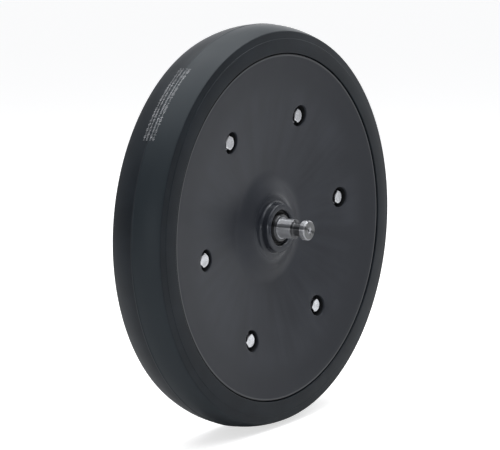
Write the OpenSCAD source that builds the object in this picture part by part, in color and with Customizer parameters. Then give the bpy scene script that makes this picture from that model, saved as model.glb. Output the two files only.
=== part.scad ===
// Planter press wheel: a semi-hollow rubber tyre clamped between two moulded rim
// halves, turning on two sealed ball bearings around a stub axle with a locking groove.
// The wheel turns about Y. The axle points towards -Y, and +Z is up.
// Outlines are drawn as [radius, height], with height measured forward from the mid-plane.

/* [Tyre] */
// Diameter over the crown of the tread
tyre_d = 330; // [300:1:370]
// Width over the sidewalls
tyre_w = 49; // [44:0.5:56]
// Height of the tyre above the edge of the rim
tyre_h = 23.8; // [20:0.1:30]
// Fall of the tread from its crown to its shoulder
tread_drop = 5.4; // [3:0.1:8]
// Rounding of the shoulder between tread and sidewall
shoulder_round = 1.6; // [0.8:0.1:3]
// How far each sidewall leans in from the rim edge to the shoulder band
sidewall_lean = 0.5; // [0.2:0.1:1.5]
// Width of the smooth band below each shoulder
band_w = 5.8; // [4:0.1:8]
// How far that band leans in towards the shoulder
band_lean = 0.4; // [0.2:0.1:1]
// Step from the sidewall down to that band
band_step = 0.3; // [0.1:0.05:0.6]
// Thickness of the rubber around the hollow
tyre_wall = 9.5; // [7:0.1:11]
// Half of the slit between the two feet of the tyre
foot_slit = 6; // [3:0.1:8]
// Thickness of the feet of the tyre on their seat
foot_t = 5; // [4:0.1:7]
// Rounding of the top of the hollow
hollow_round = 6; // [3:0.1:8]
// Rounding of the sidewall beside the rim edge
edge_round = 0.8; // [0.4:0.1:1.2]
// Height of the parting ridge around the crown
mould_line = 0.3; // [0.1:0.05:0.6]

/* [Rim] */
// How far the edge of the rim lies in from the sidewall
lip_set = 0.7; // [0.2:0.1:1.5]
// Rounding of the rim edge
lip_round = 1.2; // [0.6:0.1:1.5]
// Thickness of the rim flange at its edge
flange_t = 3.2; // [2.5:0.1:4]
// Lean of the inside of the flange, from its edge to the tyre seat
flange_lean = 2.6; // [1.5:0.1:4]
// Depth of the tyre seat below the rim edge
seat_depth = 14.2; // [12:0.1:17]
// Radius of the bead that locks each foot of the tyre in its flange
bead_round = 1.2; // [0.8:0.1:1.4]
// Distance of that bead above the tyre seat
bead_rise = 6; // [4:0.1:8]
// Thickness over both discs at the foot of the hub boss
waist_w = 16.8; // [14:0.1:19]
// Wall thickness of the mouldings
web_t = 4.2; // [3:0.1:5]
// Number of stiffening ribs inside each half
rib_count = 12; // [6:6:24]
// Thickness of a rib
rib_t = 3; // [2:0.1:4]

/* [Hub] */
// Wall outside each bearing pocket
hub_wall = 7; // [5:0.1:9]
// Thickness of the shoulder that each bearing sits against
shoulder_t = 2.5; // [2:0.1:4]
// Length of the collar in front of the boss
collar_len = 7.4; // [6:0.1:10]
// Wall of the collar around its bore
collar_wall = 5.5; // [4:0.1:7]
// Chamfer on the collar edges
collar_chamfer = 0.9; // [0.4:0.1:1.4]
// Fillet around the foot of the collar
collar_fillet = 2.6; // [1.5:0.1:4]
// Radial spread of the boss flank, from the foot of the collar out to the disc
flank_spread = 25.5; // [20:0.5:32]

/* [Rim bolts] */
// Diameter of the bolt circle
bolt_circle_d = 190; // [165:1:200]
// Number of bolts
bolt_count = 6; // [4:1:8]
// Angle of the first bolt, from +X towards +Z
bolt_phase = 68.5; // [0:0.1:90]
// Thread diameter
bolt_d = 6; // [5:0.5:7]
// Diameter of the recess around a head or a nut
recess_d = 17.6; // [16:0.1:20]
// Wall of the boss around a recess
boss_wall = 3.2; // [2.5:0.1:4]
// Depth of moulding under a head or a nut, down to the mid-plane
bolt_floor = 9.1; // [7:0.1:11]
// Width across flats of heads and nuts
hex_af = 10; // [9:0.5:12]
// Height of a bolt head
head_h = 4; // [3:0.1:5]
// Height of the turned-off corners of heads and nuts
hex_chamfer = 0.8; // [0.4:0.1:1.2]
// Height of the hexagon of a nut
nut_h = 4.4; // [4:0.1:5]
// Height of the locking collar on a nut
nut_collar_h = 1.6; // [1:0.1:2]
// How far that collar lies in from the flats of the nut
nut_collar_in = 0.6; // [0.3:0.1:1]
// Diameter of a washer
washer_d = 12; // [11:0.5:14]
// Thickness of a washer
washer_t = 1.6; // [1:0.1:2]
// Thread that stands past each nut
bolt_over = 0.8; // [0.2:0.1:2]

/* [Bearings] */
// Outside diameter of a bearing
bearing_od = 40; // [38:0.5:46]
// Width of a bearing
bearing_w = 12; // [11:0.1:14]
// Number of balls in a bearing
ball_count = 8; // [6:1:9]
// Thickness of a bearing seal
seal_t = 1.2; // [0.8:0.1:1.5]
// Depth of the step in the outer ring that a bearing seal sits in
seal_step = 1; // [0.6:0.1:1.4]
// How far a bearing seal lies in from the face of the rings
seal_set = 0.3; // [0.2:0.05:0.5]
// Side wall of the ball cage
cage_side = 0.75; // [0.5:0.05:1]
// Radial thickness of the ball cage
cage_t = 2.1; // [1.6:0.1:2.6]
// Radial height of the ring lands above and below the pitch circle
land_rise = 2.05; // [1.7:0.05:2.4]

/* [Axle] */
// Diameter of the spigot that carries the wheel
spigot_d = 16; // [14:0.1:18]
// Step from the spigot up to the bearing seats
axle_step = 0.5; // [0.3:0.1:1]
// Length of the spigot in front of the sleeve
spigot_len = 13; // [8:0.1:30]
// Chamfer beside the locking groove
groove_chamfer = 0.4; // [0.2:0.1:0.8]
// Width of the locking groove
groove_w = 8.4; // [6:0.1:12]
// Depth of the locking groove
groove_depth = 2.5; // [2.2:0.1:3.5]
// Rounding of the bottom corners of the locking groove
groove_round = 1.6; // [0.5:0.1:1.8]
// Length of the button at the end
button_len = 5.6; // [4.5:0.1:12]
// Chamfer at the end of the button
button_chamfer = 1.3; // [0.5:0.1:2]
// Diameter of the countersunk lathe centre in the end of the button
centre_d = 7; // [5:0.1:9]
// Diameter of the pilot hole in that centre
pilot_d = 2.5; // [1.5:0.1:4]
// Depth of that pilot hole below the countersink
pilot_depth = 3; // [1:0.1:5]
// Height of the head behind the rear bearing
axle_head_h = 5; // [3:0.1:6]
// How far that head stands out past the spigot
axle_head_rim = 3.8; // [3:0.1:4.2]
// Chamfer of that head
axle_head_chamfer = 1; // [0.5:0.1:1.5]

/* [Sleeve, seal and cap] */
// Wall of the spacer sleeve on the bearing seat
sleeve_t = 2.5; // [2:0.1:3.5]
// Length of the spacer sleeve, from the retaining ring to the face that the arm seats on
sleeve_len = 9.3; // [8.9:0.1:12]
// Chamfer at the mouth of the spacer sleeve
sleeve_chamfer = 0.6; // [0.3:0.1:1]
// Radial section of the dust seal, from the sleeve to the collar bore
dust_seal_w = 3.5; // [3:0.1:4.5]
// Thickness of the dust seal
dust_seal_t = 4.6; // [3.5:0.1:5]
// Distance of the dust seal behind the mouth of the collar
dust_seal_set = 3; // [2:0.1:3.5]
// Thickness of the lip of the dust seal
dust_lip_t = 1.4; // [1:0.1:2]
// Wall of the skirt of the hub cap
cap_wall = 1.8; // [1.2:0.1:2]
// Depth that the hub cap reaches into the collar
cap_depth = 5; // [3:0.1:5.5]
// Thickness of the brim of the hub cap
cap_brim_t = 1.6; // [1:0.1:2]
// How far the brim of the hub cap stands out past the collar bore
cap_brim = 3.6; // [2:0.1:4.4]
// Rise of the crown of the hub cap
cap_crown = 0.9; // [0.4:0.1:2]
// Chamfer on the brim and the skirt of the hub cap
cap_chamfer = 0.5; // [0.3:0.1:0.8]
// Thickness of the retaining ring
circlip_t = 1; // [0.8:0.1:1.2]
// Radial height of the retaining ring above its seat
circlip_rise = 1.8; // [1.4:0.1:2.2]
// Depth of the groove of the retaining ring
circlip_depth = 0.4; // [0.3:0.05:0.6]
// Width of the mouth of the retaining ring
circlip_mouth = 2.8; // [2:0.1:4]
// Diameter of the plier eyes of the retaining ring
circlip_eye_d = 3.4; // [3:0.1:4]

/* [Clearances] */
// Gap between the tyre and the walls of its seat
tyre_play = 0.1; // [0.05:0.05:0.3]
// Open gap between the rim edge and the tyre
lip_gap = 0.6; // [0.3:0.1:1]
// Gap of pieces that are pressed or slid together
seat_play = 0.02; // [0.01:0.01:0.04]
// Gap between balls and races
race_play = 0.2; // [0.1:0.05:0.3]
// Gap between balls and cage
pocket_play = 0.15; // [0.1:0.05:0.25]
// Gap between a turning seal and what it runs on
seal_play = 0.15; // [0.1:0.05:0.3]
// Gap beside moving faces
side_play = 0.3; // [0.2:0.05:0.4]
// Gap between a bolt and its hole
bolt_play = 0.3; // [0.2:0.05:0.5]

/* [Hidden] */
$fn = 96;
cut = 1;

// Tyre and rim
tyre_r = tyre_d / 2;
side_h = tyre_w / 2;
rim_r = tyre_r - tyre_h;
rim_h = side_h - lip_set;
seat_r = rim_r - seat_depth;
ledge_r = rim_r + lip_gap;
flange_h = rim_h - flange_t;
seat_h = flange_h - flange_lean;
flange_angle = atan2(flange_lean, seat_depth);
bead_c = [seat_r + bead_rise, seat_h + bead_rise * tan(flange_angle)];
ring_r = seat_r - web_t;

// Axle, bearings and hub
spigot_r = spigot_d / 2;
axle_r = spigot_r + axle_step;
bearing_r = bearing_od / 2;
bore_r = axle_r + seat_play;
pitch_r = (bore_r + bearing_r) / 2;
seal_depth = seal_set + seal_t;
cage_w = bearing_w - 2 * (seal_depth + side_play);
ball_r = cage_w / 2 - cage_side - pocket_play;
race_r = ball_r + race_play;
inner_land_r = pitch_r - land_rise;
outer_land_r = pitch_r + land_rise;
seal_seat_r = outer_land_r + seal_step;
circlip_h = bearing_w + seat_play;
sleeve_foot = circlip_h + circlip_t + 2 * seat_play;
sleeve_end = sleeve_foot + sleeve_len;
sleeve_r = axle_r + sleeve_t;
spigot_end = sleeve_end + spigot_len;
collar_bore_r = sleeve_r + dust_seal_w;
collar_r = collar_bore_r + collar_wall;
collar_foot_h = bearing_w + shoulder_t;
hub_h = collar_foot_h + collar_len;
barrel_r = bearing_r + hub_wall;
flank_top_r = max(collar_r, bearing_r) + collar_fillet;
boss_r = flank_top_r + flank_spread;
waist_h = waist_w / 2;

// Fasteners
bolt_circle_r = bolt_circle_d / 2;
shank_r = bolt_d / 2;
head_foot = bolt_floor + washer_t;
bolt_tail = head_foot + nut_h + nut_collar_h + bolt_over;

// Points along an arc around [x, y], from angle a to angle b
function arc(x, y, r, a, b, n) =
    [for (i = [0:n]) [x + r * cos(a + (b - a) * i / n), y + r * sin(a + (b - a) * i / n)]];

// The points of an outline in reverse order
function reversed(p) = [for (i = [len(p) - 1:-1:0]) p[i]];

// A half outline closed by its mirror image across the mid-plane
function both_sides(p) = concat(p, [for (q = reversed(p)) [q[0], -q[1]]]);

// Turns an outline of [radius, height] around the wheel axis
module spin() {
    rotate([90, 0, 0])
        rotate_extrude()
            children();
}

// Places a child drawn with its axis along Z on the wheel axis, height forward
module forward(h = 0) {
    rotate([90, 0, 0])
        translate([0, 0, h])
            children();
}

// Repeats a child at each bolt of the bolt circle
module at_bolts() {
    for (i = [0:bolt_count - 1])
        rotate([0, 0, bolt_phase + i * 360 / bolt_count])
            translate([bolt_circle_r, 0, 0])
                children();
}

// Turns a piece of the front around to the rear
module to_rear() {
    mirror([0, 1, 0])
        children();
}

// Outline of the flange wall that holds a foot of the tyre, set in by a gap
function channel(gap) = concat(
    [[rim_r, flange_h - gap]],
    arc(bead_c[0], bead_c[1] - gap, bead_round - gap, flange_angle, flange_angle + 180, 8),
    [[seat_r + gap, seat_h - gap]]
);

// Tread arc, and the rounding that joins it to the straight shoulder band
crown_r = tyre_r - mould_line;
shoulder_h = side_h - sidewall_lean - band_step - band_lean;
tread_arc = (pow(shoulder_h, 2) + pow(tread_drop, 2)) / (2 * tread_drop);
tread_c = crown_r - tread_arc;
corner = [crown_r - tread_drop, shoulder_h];
band_foot = corner + [-band_w, band_lean];
wall_run = band_foot - corner;
wall_dir = wall_run / norm(wall_run);
wall_in = [-wall_dir[1], wall_dir[0]];
round_from = corner + wall_in * shoulder_round - [tread_c, 0];
along = round_from * wall_dir;
reach = tread_arc - shoulder_round;
slide = -along - sqrt(along * along - round_from * round_from + reach * reach);
round_c = corner + wall_in * shoulder_round + wall_dir * slide;
round_start = atan2(round_c[1], round_c[0] - tread_c);
round_end = atan2(-wall_dir[0], wall_dir[1]);
ridge_w = 2 * mould_line;
ridge_angle = asin(ridge_w / tread_arc);

// Outline of one half of the tyre, from the crown out over the sidewall and back by the hollow
function tyre_half() = concat(
    [[tyre_r, 0], [tyre_r, ridge_w / 2]],
    arc(tread_c, 0, tread_arc, ridge_angle, round_start, 20),
    arc(round_c[0], round_c[1], shoulder_round, round_start, round_end, 6),
    [band_foot, band_foot + band_step * [-1, 1]],
    arc(ledge_r + edge_round, side_h - edge_round, edge_round, 90, 180, 4),
    [[ledge_r, flange_h - tyre_play]],
    channel(tyre_play),
    [[seat_r + tyre_play, foot_slit]],
    tyre_hollow()
);

// Outline of half the hollow inside the tyre
hollow_h = shoulder_h - tyre_wall;
hollow_top = crown_r - tyre_wall;
hollow_foot = seat_r + tyre_play + foot_t;
function tyre_hollow() = concat(
    [[hollow_foot, foot_slit], [hollow_foot + hollow_h - foot_slit, hollow_h]],
    arc(hollow_top - hollow_round, hollow_h - hollow_round, hollow_round, 90, 0, 6),
    [[hollow_top, 0]]
);

module tyre() {
    color("#1c1d20")
        spin()
            polygon(both_sides(tyre_half()));
}

// Height of the outer face of a rim half at a radius: a dish, then the flank of the hub boss
function dish(r) = waist_h + (rim_h - waist_h) * (r - boss_r) / (rim_r - boss_r);
function flank_share(r) = (1 - cos(180 * (boss_r - r) / (boss_r - flank_top_r))) / 2;
function face(r) =
    r >= boss_r ? dish(r) : dish(r) + (collar_foot_h - dish(r)) * flank_share(max(r, flank_top_r));

flank_steps = 14;
flank_rs = [for (i = [0:flank_steps]) flank_top_r + (boss_r - flank_top_r) * i / flank_steps];
web_rs = concat([for (r = flank_rs) if (r > barrel_r) r], [ring_r]);

// Outer skin of a rim half, from the collar bore out to the rounded edge of the rim
function rim_outside() = concat(
    [[collar_bore_r, hub_h - collar_chamfer], [collar_bore_r + collar_chamfer, hub_h]],
    [[collar_r - collar_chamfer, hub_h], [collar_r, hub_h - collar_chamfer]],
    arc(collar_r + collar_fillet, collar_foot_h + collar_fillet, collar_fillet, 180, 270, 4),
    [for (r = flank_rs) [r, face(r)]],
    arc(rim_r - lip_round, rim_h - lip_round, lip_round, 90 + dish_angle, 0, 6)
);
dish_angle = atan2(rim_h - waist_h, rim_r - boss_r);

// Inside of a rim half, from the tyre seat in to the bearing pocket
function rim_inside() = concat(
    [[seat_r, 0], [ring_r, 0]],
    [for (r = reversed(web_rs)) [r, face(r) - web_t]],
    [[barrel_r, face(barrel_r) - web_t], [barrel_r, 0]],
    [[bearing_r + seat_play, 0], [bearing_r + seat_play, bearing_w], [collar_bore_r, bearing_w]]
);

// Space inside a rim half that ribs and bolt bosses fill, up to the middle of the web
function rim_core() = concat(
    [[barrel_r - cut, 0]],
    [[barrel_r - cut, face(barrel_r) - web_t / 2]],
    [for (r = web_rs) [r, face(r) - web_t / 2]],
    [[ring_r + cut, face(ring_r) - web_t / 2], [ring_r + cut, 0]]
);

module ribs() {
    for (i = [0:rib_count - 1])
        rotate([0, 0, bolt_phase + i * 360 / rib_count])
            translate([0, -rib_t / 2, 0])
                cube([ring_r + cut, rib_t, rim_h]);
}

module rim_half() {
    difference() {
        union() {
            spin()
                polygon(concat(rim_outside(), channel(0), rim_inside()));
            intersection() {
                spin()
                    polygon(rim_core());
                forward() {
                    ribs();
                    at_bolts()
                        cylinder(r = recess_d / 2 + boss_wall, h = rim_h);
                }
            }
        }
        forward()
            at_bolts() {
                translate([0, 0, -cut])
                    cylinder(r = shank_r + bolt_play, h = rim_h);
                translate([0, 0, bolt_floor])
                    cylinder(d = recess_d, h = rim_h);
            }
    }
}

module front_rim_half() {
    color("#2b2c2e")
        rim_half();
}

module rear_rim_half() {
    color("#2b2c2e")
        to_rear()
            rim_half();
}

// A hexagon prism with the corners of its outer end turned off
module hex_prism(h) {
    corner_r = hex_af / 2 / cos(30);
    intersection() {
        cylinder(r = corner_r, h = h, $fn = 6);
        union() {
            cylinder(r = corner_r + cut, h = h - hex_chamfer);
            translate([0, 0, h - hex_chamfer])
                cylinder(r1 = corner_r + cut / 4, r2 = hex_af / 2 - cut / 4, h = hex_chamfer);
        }
    }
}

module rim_bolts() {
    color("#d9dadb")
        forward()
            at_bolts() {
                translate([0, 0, head_foot])
                    hex_prism(head_h);
                translate([0, 0, -bolt_tail])
                    cylinder(r = shank_r, h = bolt_tail + head_foot);
            }
}

module washers() {
    forward()
        at_bolts()
            translate([0, 0, bolt_floor])
                difference() {
                    cylinder(d = washer_d, h = washer_t);
                    translate([0, 0, -cut])
                        cylinder(r = shank_r + bolt_play / 2, h = washer_t + 2 * cut);
                }
}

module bolt_washers() {
    color("#c9cacc")
        washers();
}

module nut_washers() {
    color("#c9cacc")
        to_rear()
            washers();
}

module rim_nuts() {
    color("#cfd0d2")
        to_rear()
            forward()
                at_bolts()
                    translate([0, 0, head_foot])
                        difference() {
                            union() {
                                hex_prism(nut_h);
                                cylinder(r = hex_af / 2 - nut_collar_in, h = nut_h + nut_collar_h);
                            }
                            translate([0, 0, -cut])
                                cylinder(r = shank_r + seat_play, h = nut_h + nut_collar_h + 2 * cut);
                        }
}

// Track of the balls around the axle
module race() {
    translate([pitch_r, bearing_w / 2])
        circle(r = race_r);
}

module bearing_outer_ring() {
    color("#b9bbbe")
        spin()
            difference() {
                polygon(concat(
                    [[bearing_r, 0], [bearing_r, bearing_w], [seal_seat_r, bearing_w]],
                    [[seal_seat_r, bearing_w - seal_depth], [outer_land_r, bearing_w - seal_depth]],
                    [[outer_land_r, seal_depth], [seal_seat_r, seal_depth], [seal_seat_r, 0]]
                ));
                race();
            }
}

module bearing_inner_ring() {
    color("#b9bbbe")
        spin()
            difference() {
                translate([bore_r, 0])
                    square([inner_land_r - bore_r, bearing_w]);
                race();
            }
}

module at_balls() {
    forward(bearing_w / 2)
        for (i = [0:ball_count - 1])
            rotate([0, 0, i * 360 / ball_count])
                translate([pitch_r, 0, 0])
                    children();
}

module bearing_balls() {
    color("#dcdddf")
        at_balls()
            sphere(r = ball_r);
}

module bearing_cage() {
    color("#8d8f93")
        difference() {
            spin()
                translate([pitch_r - cage_t / 2, seal_depth + side_play])
                    square([cage_t, cage_w]);
            at_balls()
                rotate([0, 90, 0])
                    cylinder(r = ball_r + pocket_play, h = 2 * cage_t, center = true);
        }
}

// A bearing seal, seated against the shoulder of the outer ring
module bearing_seal(h) {
    color("#232426")
        spin()
            translate([inner_land_r + seal_play, h])
                square([seal_seat_r - seat_play - inner_land_r - seal_play, seal_t]);
}

module front_bearing_outer_ring() bearing_outer_ring();
module front_bearing_inner_ring() bearing_inner_ring();
module front_bearing_balls() bearing_balls();
module front_bearing_cage() bearing_cage();
module front_bearing_outboard_seal() bearing_seal(bearing_w - seal_depth);
module front_bearing_inboard_seal() bearing_seal(seal_set);
module rear_bearing_outer_ring() to_rear() bearing_outer_ring();
module rear_bearing_inner_ring() to_rear() bearing_inner_ring();
module rear_bearing_balls() to_rear() bearing_balls();
module rear_bearing_cage() to_rear() bearing_cage();
module rear_bearing_outboard_seal() to_rear() bearing_seal(bearing_w - seal_depth);
module rear_bearing_inboard_seal() to_rear() bearing_seal(seal_set);

// A lip seal pressed into the collar bore, with its lip running on the spacer sleeve
module front_dust_seal() {
    seal_r = collar_bore_r - seat_play;
    body_r = collar_bore_r - dust_seal_w / 2;
    lip_r = sleeve_r + seal_play;
    front_h = hub_h - dust_seal_set;
    back_h = front_h - dust_seal_t;
    lip_h = (front_h + back_h) / 2;
    lip_sweep = 0.8;
    color("#202123")
        spin()
            polygon([
                [seal_r, back_h],
                [seal_r, front_h],
                [body_r, front_h],
                [body_r, lip_h + dust_lip_t / 2],
                [lip_r, lip_h + dust_lip_t / 2 + lip_sweep],
                [lip_r, lip_h - dust_lip_t / 2 + lip_sweep],
                [body_r, lip_h - dust_lip_t / 2],
                [body_r, back_h]
            ]);
}

// A moulded plug with a brim, pressed into the rear collar over the head of the axle
module rear_hub_cap() {
    skirt_r = collar_bore_r - seat_play;
    skirt_in = skirt_r - cap_wall;
    skirt_end = hub_h - cap_depth;
    brim_r = collar_bore_r + cap_brim;
    brim_h = hub_h + cap_brim_t;
    dome_r = brim_r - 2 * cap_chamfer;
    color("#303134")
        to_rear()
            spin()
                polygon(concat(
                    [[0, hub_h], [skirt_in, hub_h], [skirt_in, skirt_end]],
                    [[skirt_r - cap_chamfer, skirt_end], [skirt_r, skirt_end + cap_chamfer]],
                    [[skirt_r, hub_h], [brim_r, hub_h]],
                    [[brim_r, brim_h - cap_chamfer], [brim_r - cap_chamfer, brim_h]],
                    [for (a = [0:10:90]) [dome_r * cos(a), brim_h + cap_crown * sin(a)]]
                ));
}

// Rounded bottom of the locking groove
function locking_groove(neck_r, groove_h) = concat(
    arc(neck_r + groove_round, spigot_end + groove_round, groove_round, 270, 180, 4),
    arc(neck_r + groove_round, groove_h - groove_round, groove_round, 180, 90, 4)
);

module axle() {
    neck_r = spigot_r - groove_depth;
    groove_h = spigot_end + groove_w;
    end_h = groove_h + button_len;
    head_r = spigot_r + axle_head_rim;
    foot_h = -bearing_w - axle_head_h;
    slot_r = axle_r - circlip_depth;
    pilot_h = end_h - (centre_d - pilot_d) / 2 * tan(30);
    color("#c3c5c8")
        spin()
            polygon(concat([
                [0, foot_h],
                [head_r - axle_head_chamfer, foot_h],
                [head_r, foot_h + axle_head_chamfer],
                [head_r, -bearing_w],
                [axle_r, -bearing_w],
                [axle_r, circlip_h],
                [slot_r, circlip_h],
                [slot_r, sleeve_foot],
                [axle_r, sleeve_foot],
                [axle_r, sleeve_end],
                [spigot_r, sleeve_end],
                [spigot_r, spigot_end - groove_chamfer],
                [spigot_r - groove_chamfer, spigot_end],
            ], locking_groove(neck_r, groove_h), [
                [spigot_r - groove_chamfer, groove_h],
                [spigot_r, groove_h + groove_chamfer],
                [spigot_r, end_h - button_chamfer],
                [spigot_r - button_chamfer, end_h],
                [centre_d / 2, end_h],
                [pilot_d / 2, pilot_h],
                [pilot_d / 2, pilot_h - pilot_depth],
                [0, pilot_h - pilot_depth]
            ]));
}

// A retaining ring that opens towards +Z, with two plier eyes
module axle_circlip() {
    ring_in = axle_r - circlip_depth + seat_play;
    ring_out = axle_r + circlip_rise;
    eye_turn = atan2(circlip_mouth + circlip_eye_d / 2, ring_out);
    color("#4a4c50")
        forward(circlip_h + seat_play)
            linear_extrude(circlip_t)
                difference() {
                    union() {
                        circle(r = ring_out);
                        circlip_eyes(eye_turn, ring_out, circlip_eye_d);
                    }
                    circle(r = ring_in);
                    translate([-circlip_mouth / 2, 0])
                        square([circlip_mouth, ring_out + circlip_eye_d]);
                    circlip_eyes(eye_turn, ring_out, circlip_eye_d / 2);
                }
}

module circlip_eyes(turn, r, d) {
    for (side = [-1, 1])
        rotate(90 + side * turn)
            translate([r, 0])
                circle(d = d);
}

module spacer_sleeve() {
    sleeve_in = axle_r + seat_play;
    color("#cdced1")
        spin()
            polygon([
                [sleeve_in, sleeve_foot],
                [sleeve_r, sleeve_foot],
                [sleeve_r, sleeve_end - sleeve_chamfer],
                [sleeve_r - sleeve_chamfer, sleeve_end],
                [sleeve_in, sleeve_end]
            ]);
}

tyre();
front_rim_half();
rear_rim_half();
rim_bolts();
bolt_washers();
nut_washers();
rim_nuts();
front_bearing_outer_ring();
front_bearing_inner_ring();
front_bearing_balls();
front_bearing_cage();
front_bearing_outboard_seal();
front_bearing_inboard_seal();
rear_bearing_outer_ring();
rear_bearing_inner_ring();
rear_bearing_balls();
rear_bearing_cage();
rear_bearing_outboard_seal();
rear_bearing_inboard_seal();
front_dust_seal();
rear_hub_cap();
axle();
axle_circlip();
spacer_sleeve();
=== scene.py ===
# %% [markdown]
# # A planter press wheel
# A press wheel runs behind a seed planter and firms the soil over the seed. It is a smooth
# rubber tyre clamped between two dished mouldings, which turn on a bright stub axle.
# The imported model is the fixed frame: every piece below is drawn in its place, in metres.

# %% Load the frame
import math

import bmesh
import bpy
from mathutils import Matrix, Vector


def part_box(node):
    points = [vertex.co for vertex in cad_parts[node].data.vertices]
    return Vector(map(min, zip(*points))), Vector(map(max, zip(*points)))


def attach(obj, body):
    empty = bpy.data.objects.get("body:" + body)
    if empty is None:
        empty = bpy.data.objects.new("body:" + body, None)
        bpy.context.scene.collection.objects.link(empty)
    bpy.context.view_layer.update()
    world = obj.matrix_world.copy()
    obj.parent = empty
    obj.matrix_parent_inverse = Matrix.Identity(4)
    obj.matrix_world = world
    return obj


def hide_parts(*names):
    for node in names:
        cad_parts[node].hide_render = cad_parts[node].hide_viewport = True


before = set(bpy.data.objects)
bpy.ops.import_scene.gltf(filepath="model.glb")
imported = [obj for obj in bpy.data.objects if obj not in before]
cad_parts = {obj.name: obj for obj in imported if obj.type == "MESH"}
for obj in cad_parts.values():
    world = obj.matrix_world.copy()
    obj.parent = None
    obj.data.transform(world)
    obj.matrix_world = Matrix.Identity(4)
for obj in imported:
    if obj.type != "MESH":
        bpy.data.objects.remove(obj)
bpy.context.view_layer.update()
MM = 0.001
TURN = 2 * math.pi


def put(name, data):
    """A new object in the scene."""
    obj = bpy.data.objects.new(name, data)
    bpy.context.scene.collection.objects.link(obj)
    return obj


print("nodes in the frame:", len(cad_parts))

# %% [markdown]
# ## Camera
# The wheel is seen from the front left, a little from above, with a long lens. The camera
# stands where straight lines of the picture put it, and aims just beside the hub.

# %% Place the camera
FRAME_W = 500
FRAME_H = 450
SENSOR = 36
LENS = 135.46
AZIMUTH = math.radians(-54.08)
ELEVATION = math.radians(8.5)
ROLL = math.radians(-0.64)
DISTANCE = 1.541
HUB_PIXEL = (260.2, 225.9)

back = Vector((
    math.sin(AZIMUTH) * math.cos(ELEVATION),
    -math.cos(AZIMUTH) * math.cos(ELEVATION),
    math.sin(ELEVATION),
))
level = Vector((math.cos(AZIMUTH), math.sin(AZIMUTH), 0))
upright = back.cross(level)
right = level * math.cos(ROLL) + upright * math.sin(ROLL)
top = upright * math.cos(ROLL) - level * math.sin(ROLL)
metres_per_pixel = DISTANCE * SENSOR / LENS / FRAME_W
aim = (
    right * (FRAME_W / 2 - HUB_PIXEL[0]) * metres_per_pixel
    + top * (HUB_PIXEL[1] - FRAME_H / 2) * metres_per_pixel
)
eye = back * DISTANCE
away = (eye - aim).normalized()
side = top.cross(away).normalized()
over = away.cross(side)

camera = put("camera", bpy.data.cameras.new("camera"))
camera.data.lens = LENS
camera.data.sensor_width = SENSOR
camera.matrix_world = Matrix((
    (side.x, over.x, away.x, eye.x),
    (side.y, over.y, away.y, eye.y),
    (side.z, over.z, away.z, eye.z),
    (0, 0, 0, 1),
))
bpy.context.scene.camera = camera
print("camera at", [round(v, 3) for v in eye])

# %% [markdown]
# ## Helpers for node trees
# Shapes and finishes are both node trees here. A small class lets a formula be written
# with + and *, and turns it into Math nodes, so that the code reads like the formula.

# %% Formulas
def pick(sockets, key):
    if isinstance(key, int):
        return sockets[key]
    return next(s for s in sockets if s.name == key and s.enabled)


class Formula:
    """A number in a node tree. Arithmetic on it adds Math nodes."""

    def __init__(self, tree, socket):
        self.tree = tree
        self.socket = socket

    def math(self, operation, *others):
        node = self.tree.nodes.new("ShaderNodeMath")
        node.operation = operation
        for place, value in enumerate((self, *others)):
            feed(self.tree, node.inputs[place], value)
        return Formula(self.tree, node.outputs[0])

    def __add__(self, other):
        return self.math("ADD", other)

    def __sub__(self, other):
        return self.math("SUBTRACT", other)

    def __mul__(self, other):
        return self.math("MULTIPLY", other)

    def __truediv__(self, other):
        return self.math("DIVIDE", other)

    def root(self):
        return self.math("SQRT")

    def between(self, low, high):
        """0 below low, 1 above high and smooth in between."""
        node = self.tree.nodes.new("ShaderNodeMapRange")
        node.interpolation_type = "SMOOTHSTEP"
        for key, value in (("Value", self), ("From Min", low), ("From Max", high)):
            feed(self.tree, pick(node.inputs, key), value)
        return Formula(self.tree, node.outputs[0])


# %% Nodes and links
def feed(tree, target, value):
    if isinstance(value, Formula):
        tree.links.new(value.socket, target)
    elif isinstance(value, bpy.types.NodeSocket):
        tree.links.new(value, target)
    else:
        target.default_value = value


def add(tree, kind, inputs=None, **settings):
    node = tree.nodes.new(kind)
    for name, value in settings.items():
        setattr(node, name, value)
    for key, value in (inputs or {}).items():
        feed(tree, pick(node.inputs, key), value)
    return node


def number(tree, node, key=0):
    return Formula(tree, pick(node.outputs, key))


def joined(tree, **parts):
    """A vector made of its parts X, Y and Z."""
    return add(tree, "ShaderNodeCombineXYZ", parts).outputs[0]


def split(tree, vector):
    """The parts X, Y and Z of a vector, and its radius from the axle."""
    node = add(tree, "ShaderNodeSeparateXYZ", {"Vector": vector})
    x, y, z = (number(tree, node, axis) for axis in "XYZ")
    return x, y, z, (x * x + z * z).root()


# %% [markdown]
# ## Helpers for shapes
# Nearly every piece is turned about the axle, so it starts as an outline of radius and
# height in millimetres, height counted forward from the middle of the wheel. Real edges
# are never razor sharp, so a corner of an outline can carry a rounding.

# %% Outlines
def arc(r, h, radius, start, stop, steps):
    angles = [math.radians(start + (stop - start) * i / steps) for i in range(steps + 1)]
    return [(r + radius * math.cos(a), h + radius * math.sin(a)) for a in angles]


def rounded(corners, steps=4):
    """A closed outline. A corner is (radius, height) or (radius, height, rounding)."""
    points = []
    for i, (r, h, *soft) in enumerate(corners):
        corner = Vector((r, h))
        if not soft:
            points.append((r, h))
            continue
        before = Vector(corners[i - 1][:2]) - corner
        after = Vector(corners[(i + 1) % len(corners)][:2]) - corner
        reach = soft[0] / math.tan(before.angle(after) / 2)
        reach = min(reach, before.length * 0.48, after.length * 0.48)
        start = corner + before.normalized() * reach
        stop = corner + after.normalized() * reach
        for step in range(steps + 1):
            t = step / steps
            points.append(tuple(start * (1 - t) ** 2 + corner * 2 * t * (1 - t) + stop * t ** 2))
    return points


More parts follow.
